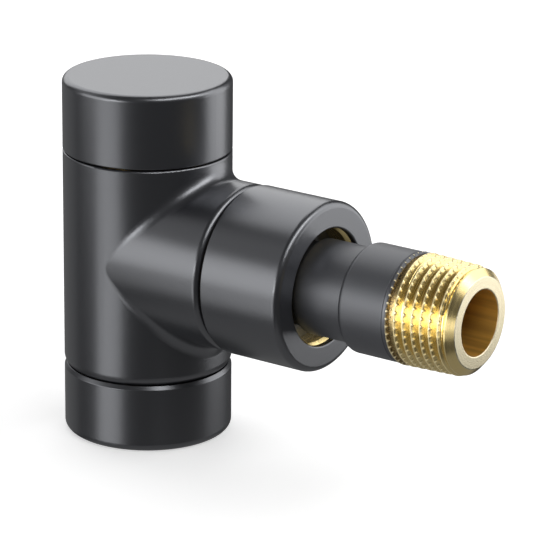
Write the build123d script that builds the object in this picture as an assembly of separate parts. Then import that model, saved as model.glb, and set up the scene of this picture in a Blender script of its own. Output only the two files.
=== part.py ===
from build123d import *
from math import cos, radians
import os

# Angled lockshield valve for a radiator: a round painted shell, bare brass inside.
# Millimetres. The origin is the centre of the pipe inlet on the underside, +Z runs up
# the spindle and +X runs along the tailpipe towards the radiator.

# ---- driving dimensions: outer form ----
shell_r = 16.0            # outside radius of the body, the cap and both covers
body_seam = 0.3           # joint between the inlet cover and the body
cap_seam = 0.25           # joint between the body and the cap
branch_below = 7.25       # plain barrel under the branch
branch_above = 3.45       # plain barrel over the branch
branch_neck = 7.4         # length of branch that stands out of the barrel
branch_step = 0.15        # the branch is this much smaller in radius than the body
junction_fillet = 3.0     # blend between barrel and branch
cover_seam = 0.7          # joint between the branch and the nut cover
soft_edge = 1.2           # rounding of the cap's top and the nut cover's front
base_edge = 2.0           # rounding of the body's lower edge
foot_edge = 1.5           # rounding of the inlet cover's lower edge
fine_edge = 0.3           # small broken edges

# ---- walls and clearances ----
cover_wall = 1.0          # side wall of the nut cover
cover_front = 1.1         # front wall of the nut cover
inlet_cover_wall = 1.2    # side and bottom wall of the inlet cover
cap_top_wall = 1.5        # top wall of the cap
cap_headroom = 1.4        # room between the bonnet's head and the cap
thread_gap = 0.08         # radial room between a male thread and its female bore
ring_gap = 0.05           # radial room between a sealing ring and the bore it runs in
face_gap = 0.1            # room between faces that are screwed up to each other
slip_gap = 0.25           # radial room round a piece that slides freely
seat_gap = 0.05           # room between the closed disc seal and its seat
thread_end = 0.3          # plain length at each end of a thread
sink = 1.0                # how far a joined piece or a cut runs past its face

# ---- pipe inlet: compression joint for 15 mm pipe ----
pipe_r = 7.5
pipe_gap = 0.1            # radial room round the pipe
socket_depth = 7.0        # how far the pipe enters the body's spigot
spigot_wall = 1.78        # from the olive's outside to the crest of a half-inch thread
inlet_pitch = 1.814
inlet_thread_depth = 1.16
clamp_wall = 1.44         # from the clamp nut's thread to its flats
clamp_nut_h = 10.5
clamp_floor = 2.9         # clamp nut's floor under the olive
cover_over_nut = 0.8      # the inlet cover stands this far above the clamp nut
olive_len = 4.1
olive_wall = 1.1
olive_tip = 0.3           # wall left at each end of the olive
olive_cone = 1.0          # height of each sloping end of the olive
olive_sink = 0.8          # depth of the olive in the clamp nut's cone
mouth_depth = 1.8         # depth of the cone in the spigot's mouth
mouth_bite = 1.0          # depth of the olive in that cone
cone_depth = 1.3          # cone that grips the olive in the clamp nut
collar_h = 2.4            # round collar on the clamp nut that carries the cover's ring

# ---- valve seat and chamber ----
throat_r = 6.0
seat_land = 1.4           # width of the raised seat
seat_lip = 1.0            # height of the raised seat
seat_drop = 1.9           # height of the outlet bore above the seat
chamber_r = 8.6
outlet_r = 7.6

# ---- bonnet, gland and spindle ----
neck_h = 6.7              # threaded neck above the body's barrel
cap_thread_r = 13.0
cap_pitch = 1.5
cap_thread_depth = 0.92
bonnet_thread_r = 8.95
bonnet_pitch = 1.0
fine_thread_depth = 0.6
bonnet_flange_r = 11.0
bonnet_flange_h = 1.4
bonnet_across = 17.0
bonnet_hex_h = 3.2
cap_seal_h = 1.05         # flat seal inside the cap, round the bonnet's flange
bonnet_pilot = 2.0        # plain length at the bonnet's foot
gland_seat = 3.4          # gland washer's seat below the flange's underside
gland_thread_r = 6.5
gland_nut_h = 6.6
gland_washer_h = 0.5
gland_slot_w = 2.0
gland_slot_depth = 1.5
spindle_thread_r = 5.0
spindle_pitch = 1.0
spindle_thread_len = 4.7
spindle_stem_r = 3.5
spindle_top_r = 4.0
spindle_lift = 4.0        # travel from shut to fully open
spindle_proud = 0.4       # the shut spindle's top above the neck's end
key_across = 5.0          # hexagon key socket in the spindle
key_depth = 5.0
ring_section = 1.5        # cross-section of the spindle's sealing rings
ring_land = 1.1           # metal between the two spindle rings
ring_end = 0.5            # metal above the upper ring and below the lower one
disc_r = 7.3
disc_plate = 2.0
disc_rim = 0.5            # wall round the disc seal
disc_cup = 1.2            # depth of the cup that holds the disc seal
disc_seal_h = 2.0
disc_seal_web = 0.15      # room round the disc seal in its cup
disc_boss_r = 2.9
disc_hub_r = 5.2
disc_hub_h = 4.0
nose_len = 3.3            # spindle nose held in the disc's hub
clip_h = 0.7
clip_room = 0.1           # room round the clip in its two grooves
clip_bite = 0.6           # how deep the clip sits in the spindle and in the hub
screw_head_r = 2.6
screw_head_h = 1.3
screw_r = 1.25
screw_len = 3.0
screw_slot_w = 0.6
washer_r = 4.2
washer_h = 0.5

# ---- union and tailpipe ----
union_spigot_len = 8.6
union_thread_r = 13.22    # three-quarter-inch parallel thread, crest radius
union_pitch = 1.814
union_thread_depth = 1.16
flange_r = 12.0
flange_h = 3.5
tail_bore_r = 6.14
tail_waist_r = 7.9
waist_len = 4.0           # waist between the flange and the neck
neck_r = 8.97
neck_len = 10.6
neck_edge = 0.8
shoulder_r = 10.27
shoulder_len = 9.8
shoulder_edge = 1.2
tail_relief = 0.2         # plain step before the radiator thread
tail_pitch = 1.814        # half-inch taper thread
tail_turns = 7
tail_crest_r = 10.48      # at the large end
tail_taper = 1.0 / 32.0   # loss of radius along the thread
tail_thread_depth = 1.16
tail_land = 0.3           # plain land after the last turn
tail_land_drop = 0.3      # the land is this much smaller than the last crest
tail_face_r = 8.4
tail_chamfer = 1.2
nut_seam = 0.4            # union nut's rear edge ahead of the cover's rear edge
nut_front = 4.4           # union nut's front wall
nut_clear = 0.3           # the nut's hole passes the radiator thread with this room
nut_bevel = 0.8
nut_across = 27.0
nut_hex_h = 4.0
cover_clear = 0.6         # the cover's hole passes the radiator thread with this room
cover_ring_section = 0.8
inlet_ring_section = 0.9
cover_ring_set = 2.5      # cover's ring from the union nut's rear edge
tail_ring_section = 1.5
tail_ring_set = 0.4       # metal outside the tail ring's groove to the flange's root

# ---- heights and places that follow ----
pipe_bore_r = pipe_r + pipe_gap
olive_r = pipe_bore_r + olive_wall
grip_r = olive_r + slip_gap
inlet_thread_r = olive_r + spigot_wall
clamp_bore_r = inlet_thread_r + thread_gap
clamp_nut_z = inlet_cover_wall + face_gap
clamp_floor_z = clamp_nut_z + clamp_floor
clamp_top_z = clamp_nut_z + clamp_nut_h
olive_z = clamp_floor_z - olive_sink
spigot_end = olive_z + olive_len - mouth_bite
inlet_cover_h = clamp_top_z + cover_over_nut
inlet_ring_z = clamp_top_z - collar_h / 2
branch_r = shell_r - branch_step
body_base = inlet_cover_h + body_seam
branch_z = body_base + branch_below + branch_r
body_top = branch_z + branch_r + branch_above
branch_reach = shell_r + branch_neck
neck_top = body_top + neck_h
flange_top = neck_top + bonnet_flange_h
bonnet_top = flange_top + bonnet_hex_h
cap_base = body_top + cap_seam
cap_ceiling = bonnet_top + cap_headroom
cap_top = cap_ceiling + cap_top_wall
bonnet_foot = branch_z + outlet_r + slip_gap
bonnet_root_r = bonnet_thread_r - fine_thread_depth
bonnet_bore_r = spindle_thread_r + ring_gap
gland_seat_z = neck_top - gland_seat
gland_bore_r = gland_thread_r + thread_gap
gland_inner_r = spindle_top_r + slip_gap
seat_z = branch_z - outlet_r - seat_drop
disc_z = seat_z + seat_gap + disc_seal_h
disc_low = disc_z - disc_cup
disc_top = disc_z + disc_plate
nose_z = disc_top + clip_room
clip_z = nose_z + nose_len / 2
clip_groove_half = clip_h / 2 + clip_room
spindle_top_z = neck_top + spindle_proud
spindle_shoulder_z = gland_seat_z - spindle_lift - face_gap
ring_inner_r = bonnet_bore_r - ring_gap - ring_section
ring_groove_half = ring_section / 2 + face_gap
upper_ring_z = spindle_shoulder_z - ring_end - ring_groove_half
lower_ring_z = upper_ring_z - 2 * ring_groove_half - ring_land
cap_seal_z = neck_top + face_gap
cap_seal_inner_r = bonnet_flange_r + slip_gap
union_end = branch_reach + union_spigot_len
flange_x = union_end + face_gap
waist_x = flange_x + flange_h
neck_x = waist_x + waist_len
shoulder_x = neck_x + neck_len
tail_thread_x = shoulder_x + shoulder_len + tail_relief
tail_thread_end = tail_thread_x + tail_turns * tail_pitch
tail_land_r = tail_crest_r - tail_taper * tail_turns * tail_pitch - tail_land_drop
tail_face_x = tail_thread_end + tail_land + tail_chamfer
cover_x = branch_reach + cover_seam
nut_x = cover_x + nut_seam
nut_shoulder_x = waist_x + face_gap
nut_front_x = nut_shoulder_x + nut_front
cover_inner_x = nut_front_x + 2 * face_gap
cover_front_x = cover_inner_x + cover_front
nut_bore_r = union_thread_r + thread_gap
nut_hole_r = tail_crest_r + nut_clear
cover_inner_r = shell_r - cover_wall
cover_ring_inner_r = cover_inner_r - ring_gap - cover_ring_section
nut_outer_r = cover_inner_r - slip_gap
inlet_inner_r = shell_r - inlet_cover_wall
inlet_ring_inner_r = inlet_inner_r - ring_gap - inlet_ring_section
collar_r = inlet_inner_r - slip_gap
tail_ring_outer_r = union_thread_r - union_thread_depth - tail_ring_set
tail_ring_inner_r = tail_ring_outer_r - tail_ring_section - 2 * face_gap


# ---- helpers ----
def turned(outline):
    """Solid of revolution about Z from (radius, height) corners."""
    edge = Plane.XZ * Polyline(*outline, close=True)
    return revolve(make_face(edge), Axis.Z)


def tube(outer, inner, low, high):
    """Plain ring between two radii and two heights."""
    return turned([(inner, low), (outer, low), (outer, high), (inner, high)])


def rod(radius, low, high):
    """Plain cylinder on Z between two heights."""
    return turned([(0, low), (radius, low), (radius, high), (0, high)])


def torus_ring(inner, section, height):
    """Sealing ring of round section, its inner radius given."""
    ring = Torus(inner + section / 2, section / 2)
    return Pos(0, 0, height) * ring


def hexagon(across, low, high):
    """Hexagonal bar on Z with the given width across flats."""
    corner_r = across / 2 / cos(radians(30))
    shape = RegularPolygon(corner_r, 6)
    return Pos(0, 0, low) * extrude(shape, high - low)


def ridges(start, pitch, turns, crest, depth, taper=0.0):
    """Outline of a male thread as ring ridges; the crest falls by taper per mm."""
    points = []
    for turn in range(turns):
        root_z = start + turn * pitch
        crest_r = crest - taper * (root_z + pitch / 2 - start)
        points.append((crest_r - depth, root_z))
        points.append((crest_r, root_z + 0.42 * pitch))
        points.append((crest_r, root_z + 0.58 * pitch))
    end = start + turns * pitch
    points.append((crest - taper * (end - start) - depth, end))
    return points


def rim(solid, radius, height):
    """The circular edges of one radius at one height on Z."""
    found = []
    for edge in solid.edges().filter_by(GeomType.CIRCLE):
        same_height = abs(edge.arc_center.Z - height) < 0.01
        if same_height and abs(edge.radius - radius) < 0.01:
            found.append(edge)
    return found


def along_x(solid):
    """Lays a solid made on Z along +X at the branch's height."""
    return Pos(0, 0, branch_z) * Rot(0, 90, 0) * solid


# ---- body ----
def barrel_and_branch():
    """Painted outer form: barrel, branch and the blend between them."""
    barrel = rod(shell_r, body_base, body_top)
    branch = along_x(rod(branch_r, 0, branch_reach))
    form = barrel + branch
    straight = (GeomType.CIRCLE, GeomType.LINE)
    seams = [edge for edge in form.edges() if edge.geom_type not in straight]
    form = fillet(seams, junction_fillet)
    form = fillet(rim(form, shell_r, body_base), base_edge)
    form = fillet(rim(form, shell_r, body_top), fine_edge)
    front = [edge for edge in form.edges().filter_by(GeomType.CIRCLE)
             if abs(edge.arc_center.X - branch_reach) < 0.01]
    return fillet(front, soft_edge)


def spigot(length, pitch, crest_r, depth):
    """Threaded spigot from height 0 up to its free end, its root sunk in its base."""
    turns = int((length - 2 * thread_end) / pitch)
    start = length - thread_end - turns * pitch
    root_r = crest_r - depth
    low = [(0, -sink), (root_r, -sink)]
    high = [(root_r, length), (0, length)]
    return turned(low + ridges(start, pitch, turns, crest_r, depth) + high)


def waterway():
    """Everything that is bored out of the body from the pipe socket to the top."""
    socket_top = spigot_end + socket_depth
    floor_z = seat_z - seat_lip
    land_r = throat_r + seat_land
    screw_r_out = bonnet_thread_r + thread_gap
    step_r = bonnet_thread_r + ring_section
    step_z = neck_top - ring_section
    return turned([
        (0, spigot_end - sink), (grip_r, spigot_end - sink), (grip_r, spigot_end),
        (pipe_bore_r, spigot_end + mouth_depth), (pipe_bore_r, socket_top),
        (throat_r, socket_top), (throat_r, seat_z), (land_r, seat_z), (land_r, floor_z),
        (chamber_r, floor_z), (chamber_r, bonnet_foot + bonnet_pilot),
        (screw_r_out, bonnet_foot + bonnet_pilot), (screw_r_out, step_z), (step_r, step_z),
        (step_r, neck_top + sink), (0, neck_top + sink),
    ])


def make_valve_body():
    inlet_len = body_base - spigot_end
    inlet = spigot(inlet_len, inlet_pitch, inlet_thread_r, inlet_thread_depth)
    inlet = Pos(0, 0, body_base) * Rot(180, 0, 0) * inlet
    neck = spigot(neck_h, cap_pitch, cap_thread_r, cap_thread_depth)
    neck = Pos(0, 0, body_top) * neck
    union = spigot(union_spigot_len, union_pitch, union_thread_r, union_thread_depth)
    union = along_x(Pos(0, 0, branch_reach) * union)
    outlet = along_x(rod(outlet_r, 0, union_end + sink))
    return barrel_and_branch() + inlet + neck + union - waterway() - outlet


# ---- bonnet and gland ----
def make_bonnet():
    pilot_r = chamber_r - slip_gap
    thread_start = bonnet_foot + bonnet_pilot + thread_end
    turns = int((neck_top - ring_section - thread_start) / bonnet_pitch)
    outline = [
        (0, bonnet_foot), (bonnet_root_r - fine_edge, bonnet_foot),
        (pilot_r, bonnet_foot + fine_edge), (pilot_r, bonnet_foot + bonnet_pilot - fine_edge),
    ]
    outline += ridges(thread_start, bonnet_pitch, turns, bonnet_thread_r, fine_thread_depth)
    outline += [(bonnet_root_r, neck_top), (bonnet_flange_r, neck_top)]
    outline += [(bonnet_flange_r, flange_top), (0, flange_top)]
    hex_base = flange_top - fine_edge
    head = hexagon(bonnet_across, hex_base, bonnet_top)
    head = head & turned([
        (0, hex_base), (bonnet_flange_r, hex_base), (bonnet_flange_r, bonnet_top - 1.5),
        (bonnet_across / 2, bonnet_top), (0, bonnet_top),
    ])
    lead = 2 * fine_edge
    bore = turned([
        (0, bonnet_foot - sink), (bonnet_bore_r + lead, bonnet_foot - sink),
        (bonnet_bore_r + lead, bonnet_foot), (bonnet_bore_r, bonnet_foot + lead),
        (bonnet_bore_r, gland_seat_z), (gland_bore_r, gland_seat_z),
        (gland_bore_r, bonnet_top + sink), (0, bonnet_top + sink),
    ])
    return turned(outline) + head - bore


def make_bonnet_o_ring():
    section = ring_section - face_gap
    inner = bonnet_thread_r + face_gap / 2
    return torus_ring(inner, section, neck_top - ring_section / 2)


def make_gland_washer():
    outer = gland_thread_r - face_gap
    return tube(outer, gland_inner_r, gland_seat_z, gland_seat_z + gland_washer_h)


def make_gland_nut():
    low = gland_seat_z + gland_washer_h
    high = low + gland_nut_h
    turns = int((gland_nut_h - fine_edge) / bonnet_pitch)
    outline = [(gland_inner_r, low)]
    outline += ridges(low, bonnet_pitch, turns, gland_thread_r, fine_thread_depth)
    outline += [(gland_thread_r - fine_thread_depth, high), (gland_inner_r, high)]
    slot = Pos(0, 0, high) * Box(3 * gland_thread_r, gland_slot_w, 2 * gland_slot_depth)
    return turned(outline) - slot


# ---- spindle and disc ----
def make_spindle():
    piston_r = spindle_thread_r - ring_gap
    piston_base = lower_ring_z - ring_groove_half - ring_end
    turns = int(spindle_thread_len / spindle_pitch)
    thread_base = piston_base - ring_gap - turns * spindle_pitch
    outline = [(0, nose_z), (spindle_stem_r, nose_z), (spindle_stem_r, thread_base)]
    outline += ridges(thread_base, spindle_pitch, turns, spindle_thread_r, fine_thread_depth)
    outline += [(piston_r, piston_base)]
    for middle in (lower_ring_z, upper_ring_z):
        low = middle - ring_groove_half
        high = middle + ring_groove_half
        outline += [(piston_r, low), (ring_inner_r, low), (ring_inner_r, high), (piston_r, high)]
    outline += [
        (piston_r, spindle_shoulder_z), (spindle_top_r, spindle_shoulder_z),
        (spindle_top_r, spindle_top_z - fine_edge), (spindle_top_r - fine_edge, spindle_top_z),
        (0, spindle_top_z),
    ]
    groove_r = spindle_stem_r - clip_bite - clip_room
    low = clip_z - clip_groove_half
    groove = tube(spindle_stem_r + sink, groove_r, low, clip_z + clip_groove_half)
    key = hexagon(key_across, spindle_top_z - key_depth, spindle_top_z + sink)
    return turned(outline) - groove - key


def make_spindle_o_ring(middle):
    return torus_ring(ring_inner_r + ring_gap / 2, ring_section, middle)


def make_valve_disc():
    hub_top = disc_top + disc_hub_h
    seal_r = disc_r - disc_rim
    low = clip_z - clip_groove_half
    high = clip_z + clip_groove_half
    bore_r = spindle_stem_r + clip_room
    deep_r = spindle_stem_r + clip_bite + clip_room
    holder = turned([
        (0, disc_low), (disc_boss_r, disc_low), (disc_boss_r, disc_z), (seal_r, disc_z),
        (seal_r, disc_low), (disc_r, disc_low), (disc_r, disc_top), (disc_hub_r, disc_top),
        (disc_hub_r, hub_top), (bore_r, hub_top), (bore_r, high), (deep_r, high),
        (deep_r, low), (bore_r, low), (bore_r, disc_top), (0, disc_top),
    ])
    return holder - rod(screw_r, disc_low - sink, disc_low + screw_len)


def make_disc_seal():
    outer = disc_r - disc_rim - disc_seal_web
    return tube(outer, disc_boss_r + disc_seal_web, seat_z + seat_gap, disc_z)


def make_disc_washer():
    high = seat_z + seat_gap
    return tube(washer_r, screw_r + face_gap, high - washer_h, high)


def make_disc_screw():
    under_head = seat_z + seat_gap - washer_h
    low = under_head - screw_head_h
    head = rod(screw_head_r, low, under_head)
    head = fillet(rim(head, screw_head_r, low), screw_head_h / 3)
    shank = rod(screw_r, under_head, disc_low + screw_len - face_gap)
    slot = Pos(0, 0, low) * Box(3 * screw_head_r, screw_slot_w, screw_head_h)
    return head + shank - slot


def make_disc_clip():
    """Open wire ring in the facing grooves of the spindle nose and the hub."""
    outer = spindle_stem_r + clip_bite
    ring = tube(outer, spindle_stem_r - clip_bite, clip_z - clip_h / 2, clip_z + clip_h / 2)
    return ring - Pos(outer, 0, clip_z) * Box(2 * outer, 2 * clip_h, 2 * clip_h)


# ---- cap ----
def make_cap():
    bore_r = cap_thread_r + thread_gap
    step_z = cap_seal_z + cap_seal_h + seat_gap
    shell = turned([
        (bore_r, cap_base), (shell_r, cap_base), (shell_r, cap_top), (0, cap_top),
        (0, cap_ceiling), (cap_seal_inner_r, cap_ceiling), (cap_seal_inner_r, step_z),
        (bore_r, step_z),
    ])
    shell = fillet(rim(shell, shell_r, cap_top), soft_edge)
    return fillet(rim(shell, shell_r, cap_base), fine_edge)


def make_cap_seal():
    outer = cap_thread_r - face_gap
    return tube(outer, cap_seal_inner_r, cap_seal_z, cap_seal_z + cap_seal_h)


# ---- union and tailpipe ----
def make_tailpipe():
    groove_x = flange_x + tail_ring_section + face_gap
    outline = [
        (tail_bore_r, flange_x), (tail_ring_inner_r, flange_x), (tail_ring_inner_r, groove_x),
        (tail_ring_outer_r, groove_x), (tail_ring_outer_r, flange_x), (flange_r, flange_x),
        (flange_r, waist_x), (tail_waist_r, waist_x), (tail_waist_r, neck_x),
        (neck_r, neck_x), (neck_r, shoulder_x), (shoulder_r, shoulder_x),
        (shoulder_r, tail_thread_x - tail_relief),
    ]
    outline += ridges(
        tail_thread_x, tail_pitch, tail_turns, tail_crest_r, tail_thread_depth, tail_taper)
    outline += [
        (tail_land_r, tail_thread_end + tail_land), (tail_face_r, tail_face_x),
        (tail_bore_r, tail_face_x),
    ]
    pipe = turned(outline)
    pipe = fillet(rim(pipe, shoulder_r, shoulder_x), shoulder_edge)
    pipe = fillet(rim(pipe, neck_r, neck_x), neck_edge)
    return along_x(pipe)


def make_tail_o_ring():
    middle = flange_x + tail_ring_section / 2 + face_gap / 2
    return along_x(torus_ring(tail_ring_inner_r + face_gap, tail_ring_section, middle))


def make_union_nut():
    bevel_r = nut_hole_r + nut_bevel
    edge_r = nut_outer_r - 2 * fine_edge
    blank = turned([
        (nut_bore_r, nut_x), (nut_outer_r - fine_edge, nut_x), (nut_outer_r, nut_x + fine_edge),
        (nut_outer_r, nut_front_x - 2 * fine_edge), (edge_r, nut_front_x),
        (bevel_r, nut_front_x), (nut_hole_r, nut_front_x - nut_bevel),
        (nut_hole_r, nut_shoulder_x), (nut_bore_r, nut_shoulder_x),
    ])
    hex_x = nut_front_x - nut_hex_h
    flats = rod(2 * nut_outer_r, hex_x, nut_front_x + sink)
    flats = flats - hexagon(nut_across, hex_x - sink, nut_front_x + 2 * sink)
    half = cover_ring_section / 2 + face_gap
    ring_x = nut_x + cover_ring_set
    groove = tube(2 * nut_outer_r, cover_ring_inner_r, ring_x - half, ring_x + half)
    return along_x(blank - flats - groove)


def make_nut_cover_ring():
    ring_x = nut_x + cover_ring_set
    return along_x(torus_ring(cover_ring_inner_r, cover_ring_section, ring_x))


def make_nut_cover():
    hole_r = tail_crest_r + cover_clear
    sleeve = turned([
        (cover_inner_r, cover_x), (shell_r, cover_x), (shell_r, cover_front_x),
        (hole_r, cover_front_x), (hole_r, cover_inner_x), (cover_inner_r, cover_inner_x),
    ])
    sleeve = fillet(rim(sleeve, shell_r, cover_front_x), soft_edge)
    sleeve = fillet(rim(sleeve, shell_r, cover_x), fine_edge)
    sleeve = fillet(rim(sleeve, hole_r, cover_front_x), fine_edge)
    return along_x(sleeve)


# ---- inlet joint ----
def make_clamp_nut():
    hex_half = clamp_bore_r + clamp_wall
    bevel_h = (collar_r - hex_half) * 0.6
    body = hexagon(2 * hex_half, clamp_nut_z, clamp_top_z)
    body = body + rod(collar_r, clamp_top_z - collar_h, clamp_top_z)
    outside = turned([
        (0, clamp_nut_z), (hex_half, clamp_nut_z), (collar_r, clamp_nut_z + bevel_h),
        (collar_r, clamp_top_z), (0, clamp_top_z),
    ])
    bore = turned([
        (0, clamp_nut_z - sink), (pipe_bore_r, clamp_nut_z - sink),
        (pipe_bore_r, clamp_floor_z - cone_depth), (grip_r, clamp_floor_z),
        (clamp_bore_r, clamp_floor_z), (clamp_bore_r, clamp_top_z + sink),
        (0, clamp_top_z + sink),
    ])
    half = inlet_ring_section / 2 + face_gap
    groove = tube(2 * shell_r, inlet_ring_inner_r, inlet_ring_z - half, inlet_ring_z + half)
    return (body & outside) - bore - groove


def make_inlet_cover_ring():
    return torus_ring(inlet_ring_inner_r, inlet_ring_section, inlet_ring_z)


def make_olive():
    high = olive_z + olive_len
    tip_r = pipe_bore_r + olive_tip
    return turned([
        (pipe_bore_r, olive_z), (tip_r, olive_z), (olive_r, olive_z + olive_cone),
        (olive_r, high - olive_cone), (tip_r, high), (pipe_bore_r, high),
    ])


def make_inlet_cover():
    sleeve = turned([
        (pipe_bore_r, 0), (shell_r, 0), (shell_r, inlet_cover_h),
        (inlet_inner_r, inlet_cover_h), (inlet_inner_r, inlet_cover_wall),
        (pipe_bore_r, inlet_cover_wall),
    ])
    sleeve = fillet(rim(sleeve, shell_r, 0), foot_edge)
    return chamfer(rim(sleeve, shell_r, inlet_cover_h), fine_edge)


pieces = {
    "valve_body": make_valve_body(),
    "bonnet": make_bonnet(),
    "bonnet_o_ring": make_bonnet_o_ring(),
    "gland_washer": make_gland_washer(),
    "gland_nut": make_gland_nut(),
    "spindle": make_spindle(),
    "spindle_lower_o_ring": make_spindle_o_ring(lower_ring_z),
    "spindle_upper_o_ring": make_spindle_o_ring(upper_ring_z),
    "valve_disc": make_valve_disc(),
    "disc_seal": make_disc_seal(),
    "disc_washer": make_disc_washer(),
    "disc_screw": make_disc_screw(),
    "disc_clip": make_disc_clip(),
    "cap": make_cap(),
    "cap_seal": make_cap_seal(),
    "tailpipe": make_tailpipe(),
    "tail_o_ring": make_tail_o_ring(),
    "union_nut": make_union_nut(),
    "nut_cover_ring": make_nut_cover_ring(),
    "nut_cover": make_nut_cover(),
    "clamp_nut": make_clamp_nut(),
    "olive": make_olive(),
    "inlet_cover_ring": make_inlet_cover_ring(),
    "inlet_cover": make_inlet_cover(),
}

os.makedirs("parts", exist_ok=True)
for name, solid in pieces.items():
    export_step(solid, f"parts/{name}.step")
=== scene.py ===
import math

import bmesh
import bpy
from bpy.props import FloatProperty, FloatVectorProperty, IntProperty, PointerProperty
from mathutils import Matrix, Vector


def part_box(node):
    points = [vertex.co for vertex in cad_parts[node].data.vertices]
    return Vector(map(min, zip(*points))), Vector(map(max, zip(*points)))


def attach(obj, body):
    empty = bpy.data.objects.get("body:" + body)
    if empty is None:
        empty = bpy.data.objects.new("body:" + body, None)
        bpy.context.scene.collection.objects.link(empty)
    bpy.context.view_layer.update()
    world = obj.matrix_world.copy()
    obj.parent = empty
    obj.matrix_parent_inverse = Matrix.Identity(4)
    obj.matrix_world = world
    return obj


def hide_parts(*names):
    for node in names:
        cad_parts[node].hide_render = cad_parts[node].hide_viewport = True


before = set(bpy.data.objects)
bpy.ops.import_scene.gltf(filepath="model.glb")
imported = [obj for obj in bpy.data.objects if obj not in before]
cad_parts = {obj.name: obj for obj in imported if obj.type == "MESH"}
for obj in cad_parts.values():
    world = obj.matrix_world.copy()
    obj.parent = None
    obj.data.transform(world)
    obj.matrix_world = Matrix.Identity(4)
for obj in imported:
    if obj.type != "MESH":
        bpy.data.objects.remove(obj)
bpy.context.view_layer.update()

bl_info = {
    "name": "Angled radiator valve",
    "version": (1, 0, 0),
    "blender": (4, 5, 0),
    "location": "3D View > Sidebar > Valve",
    "description": "Finishes and fine shapes of an angled radiator valve on its fixed frame",
    "category": "Add Mesh",
}

# ---- places that the frame gives, in metres ----
MM = 0.001
PIPE_LOW, PIPE_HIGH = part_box("tailpipe")
PIPE_AXIS_Z = (PIPE_LOW.z + PIPE_HIGH.z) / 2
COVER_LOW, COVER_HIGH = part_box("nut_cover")
CAP_LOW, CAP_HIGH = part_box("cap")
INLET_LOW, INLET_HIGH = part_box("inlet_cover")
SHELL_R = (CAP_HIGH.y - CAP_LOW.y) / 2


# ---- sizes and colours that a user would change ----
def length(name, description, default):
    """A length property given in metres."""
    return FloatProperty(
        name=name, description=description, default=default, unit="LENGTH", precision=5)


def colour(name, description, default):
    """A colour property."""
    return FloatVectorProperty(
        name=name, description=description, default=default, subtype="COLOR",
        size=3, min=0.0, max=1.0)


def share(name, description, default):
    """A property between 0 and 1."""
    return FloatProperty(
        name=name, description=description, default=default, min=0.0, max=1.0,
        subtype="FACTOR")


class TailpipeSizes(bpy.types.PropertyGroup):
    """Sizes of the tailpipe and its radiator thread."""

    bore_r: length("Bore radius", "Radius of the waterway", 6.14 * MM)
    waist_r: length("Waist radius", "Radius between the flange and the neck", 7.9 * MM)
    neck_r: length("Neck radius", "Radius of the painted neck", 8.97 * MM)
    shoulder_r: length("Shoulder radius", "Radius of the painted shoulder", 10.27 * MM)
    flange_h: length("Flange thickness", "Length of the flange in the nut", 3.5 * MM)
    waist_len: length("Waist length", "Length from the flange to the neck", 4.0 * MM)
    neck_len: length("Neck length", "Length of the painted neck", 10.6 * MM)
    shoulder_len: length("Shoulder length", "Length of the painted shoulder", 9.8 * MM)
    pitch: length("Pitch", "Distance from crest to crest", 1.814 * MM)
    crest_r: length("Crest radius", "Radius of the first crest", 10.48 * MM)
    depth: length("Thread depth", "Depth from crest to root", 1.16 * MM)
    turns: IntProperty(name="Turns", description="Turns of thread", default=7, min=1)
    taper: FloatProperty(
        name="Taper", description="Loss of radius per length of thread", default=1 / 32)
    teeth: IntProperty(
        name="Teeth", description="Teeth round one turn of the crest", default=45, min=3)
    tooth_drop: length("Tooth drop", "Step from the crest down to a tooth", 0.05 * MM)
    tooth_reach: share("Tooth reach", "Reach of a tooth over the flank, per pitch", 0.15)
    lead_turn: FloatProperty(
        name="Lead turn", description="Turn of the whole helix, as a share of one turn",
        default=0.41)
    start_r: length("Run-out radius", "Radius where the thread runs out at the shoulder", 10.15 * MM)
    end_r: length("Lead radius", "Radius where the thread ends at the lead", 9.78 * MM)
    face_r: length("Face radius", "Outer radius of the end face", 8.4 * MM)
    chamfer: length("Chamfer", "Length of the end chamfer", 1.2 * MM)


class InletCoverSizes(bpy.types.PropertyGroup):
    """Sizes of the round cover at the pipe inlet."""

    bore_r: length("Bore radius", "Radius of the hole for the pipe", 7.6 * MM)
    wall: length("Wall", "Thickness of the side and the bottom", 1.2 * MM)
    foot: length("Foot rounding", "Rounding of the lower edge", 1.5 * MM)
    bevel: length("Bevel", "Height where the bevel starts, below the top", 0.15 * MM)
    lip_h: length("Lip height", "Rise of the lip that closes the joint", 0.62 * MM)
    lip_in: length("Lip inset", "Distance of the lip inside the outside", 0.5 * MM)


class Finishes(bpy.types.PropertyGroup):
    """Colours and gloss of the finishes."""

    paint: colour("Paint", "Anthracite satin paint", (0.012, 0.0125, 0.015))
    paint_gloss: share("Paint roughness", "Roughness of the satin paint", 0.31)
    paint_ior: FloatProperty(
        name="Paint IOR", description="Strength of the metallic paint's sheen", default=2.36)
    brass: colour("Brass", "Bare turned brass", (0.88, 0.70, 0.32))
    brass_gloss: share("Brass roughness", "Roughness of turned brass", 0.21)
    tarnish: colour("Tarnish", "Darker tone in the brass", (0.52, 0.31, 0.08))
    # The bore colour is a painted shade: a dim brown that stands for brass deep in shadow.
    bore: colour("Bore", "Brown brass of the drilled bore", (0.68, 0.38, 0.07))
    # The end face's paler colour is a painted highlight tone: it makes the bright reflection there read
    # cream.
    highlit: colour("Faced end", "Paler brass of the faced end", (0.74, 0.66, 0.46))
    # Partly rubbed wear and partly a painted highlight: crests and teeth brighter than the brass round
    # them.
    worn_and_highlit: colour("Rubbed brass", "Bright brass of the crests and teeth", (1.0, 0.87, 0.52))
    rubber: colour("Rubber", "Black sealing rubber", (0.018, 0.018, 0.019))
    plastic: colour("Plastic", "Off-white gland plastic", (0.78, 0.76, 0.70))
    steel: colour("Steel", "Spring steel", (0.56, 0.56, 0.55))


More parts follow.
